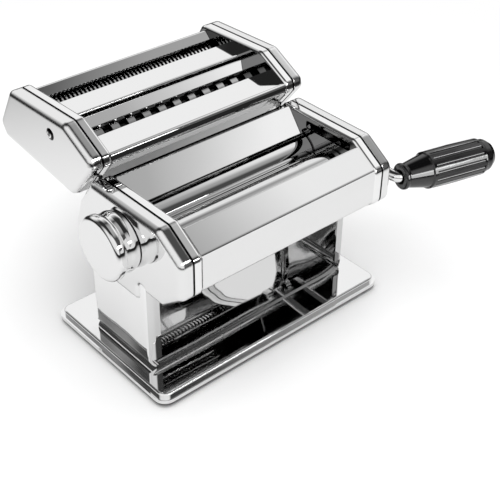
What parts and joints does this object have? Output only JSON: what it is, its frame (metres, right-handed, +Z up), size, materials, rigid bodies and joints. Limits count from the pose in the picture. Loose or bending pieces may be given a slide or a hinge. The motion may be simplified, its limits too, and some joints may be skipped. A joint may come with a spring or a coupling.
{
  "type": "pasta roller machine",
  "caption": "Hand-cranked countertop machine that rolls dough between smooth rollers and slices it in a clip-on noodle cutter, with a thickness knob and a U-shaped stand on a base.",
  "frame": {"origin": "middle of the base between its feet, on the surface that the machine stands on", "axes": "+Z up, +X along the rollers towards the crank, -Y the front where the dough sheet is fed in"},
  "size_m": [0.2986, 0.2232, 0.1624],
  "materials": {
    "cover_chrome": "polished stainless steel",
    "side_chrome": "polished stainless steel",
    "panel_chrome": "polished stainless steel",
    "stand_chrome": "polished stainless steel",
    "base_chrome": "polished stainless steel",
    "roller_steel": "ground and polished",
    "cutter_steel": "turned, satin",
    "knob_chrome": "polished",
    "rod_chrome": "plated, bright",
    "grip_black": "moulded, glossy",
    "foot_rubber": "matt",
    "frame_steel": "drawn bar",
    "gear_steel": "sintered",
    "bush_bronze": "sintered bearing bronze",
    "core_plastic": "moulded"
  },
  "bodies": {
    "root": {"base_plate": "base_chrome", "rubber_feet": "foot_rubber", "stand_bracket": "stand_chrome", "tie_rods": "frame_steel", "leg_spacers": "frame_steel", "left_side_plate": "side_chrome", "right_side_plate": "side_chrome", "left_cover": "cover_chrome", "right_cover": "cover_chrome", "front_panel": "panel_chrome", "rear_panel": "panel_chrome", "rear_roller_bushes": "bush_bronze", "knob_bush": "bush_bronze", "drive_escutcheon": "rod_chrome"},
    "drive": {"rear_roller": "roller_steel", "rear_roller_gear": "gear_steel", "drive_hub": "frame_steel"},
    "crank": {"crank_rod": "rod_chrome", "grip_washer": "rod_chrome"},
    "grip": {"crank_grip": "grip_black"},
    "carriage": {"front_bearing_left": "bush_bronze", "front_bearing_right": "bush_bronze"},
    "front_roller": {"front_roller": "roller_steel", "front_roller_gear": "gear_steel"},
    "adjuster": {"adjuster_cam": "frame_steel", "knob_washer": "frame_steel", "knob_spring": "frame_steel"},
    "knob": {"knob_shell": "knob_chrome", "knob_core": "core_plastic"},
    "cutter": {"cutter_left_side_plate": "side_chrome", "cutter_right_side_plate": "side_chrome", "cutter_left_cover": "cover_chrome", "cutter_right_cover": "cover_chrome", "cutter_bushes": "bush_bronze", "cutter_tie_rods": "frame_steel", "cutter_cover_screws": "rod_chrome", "cutter_front_panel": "panel_chrome", "cutter_middle_panel": "panel_chrome", "cutter_strip_panel": "panel_chrome", "cutter_rear_panel": "panel_chrome", "hanger_tongues": "frame_steel"},
    "wide_front": {"wide_cutter_front": "cutter_steel", "wide_cutter_front_gear": "gear_steel"},
    "wide_rear": {"wide_cutter_rear": "cutter_steel", "wide_cutter_rear_gear": "gear_steel"},
    "fine_front": {"fine_cutter_front": "cutter_steel", "fine_cutter_front_gear": "gear_steel"},
    "fine_rear": {"fine_cutter_rear": "cutter_steel", "fine_cutter_rear_gear": "gear_steel"}
  },
  "joints": [
    {"name": "crank_turn", "type": "hinge", "parent": "root", "child": "drive", "pos_m": [0, 0.0015, 0.101], "axis": [1, 0, 0], "continuous": true},
    {"name": "crank_pull", "type": "slide", "parent": "drive", "child": "crank", "axis": [1, 0, 0], "range_m": [0, 0.035]},
    {"name": "grip_spin", "type": "hinge", "parent": "crank", "child": "grip", "pos_m": [0.1073, -0.0644, 0.09581], "axis": [0.972, -0.2344, -0.0184], "continuous": true},
    {"name": "gap_slide", "type": "slide", "parent": "root", "child": "carriage", "axis": [0, 1, 0], "range_m": [0, 0.0025]},
    {"name": "front_roller_turn", "type": "hinge", "parent": "carriage", "child": "front_roller", "pos_m": [0, -0.0335, 0.101], "axis": [1, 0, 0], "continuous": true},
    {"name": "knob_turn", "type": "hinge", "parent": "root", "child": "adjuster", "pos_m": [0, -0.013, 0.1064], "axis": [1, 0, 0], "range_deg": [0, 300]},
    {"name": "knob_pull", "type": "slide", "parent": "adjuster", "child": "knob", "axis": [-1, 0, 0], "range_m": [0, 0.004], "stiffness_N_per_m": 800, "springref_m": -0.003, "deforming": ["knob_spring"]},
    {"name": "cutter_lift", "type": "slide", "parent": "root", "child": "cutter", "axis": [0, 0, 1], "range_m": [0, 0.04]},
    {"name": "wide_drive", "type": "hinge", "parent": "cutter", "child": "wide_front", "pos_m": [0, 0.03875, 0.136], "axis": [1, 0, 0], "continuous": true},
    {"name": "wide_follow", "type": "hinge", "parent": "cutter", "child": "wide_rear", "pos_m": [0, 0.05625, 0.136], "axis": [1, 0, 0], "continuous": true},
    {"name": "fine_drive", "type": "hinge", "parent": "cutter", "child": "fine_front", "pos_m": [0, 0.08365, 0.141], "axis": [1, 0, 0], "continuous": true},
    {"name": "fine_follow", "type": "hinge", "parent": "cutter", "child": "fine_rear", "pos_m": [0, 0.10115, 0.141], "axis": [1, 0, 0], "continuous": true}
  ],
  "couplings": [
    {"joint": "front_roller_turn", "follows": "crank_turn", "ratio": -1},
    {"joint": "knob_turn", "follows": "gap_slide", "rad_per_m": 2094.4},
    {"joint": "wide_follow", "follows": "wide_drive", "ratio": -1},
    {"joint": "fine_follow", "follows": "fine_drive", "ratio": -1}
  ]
}
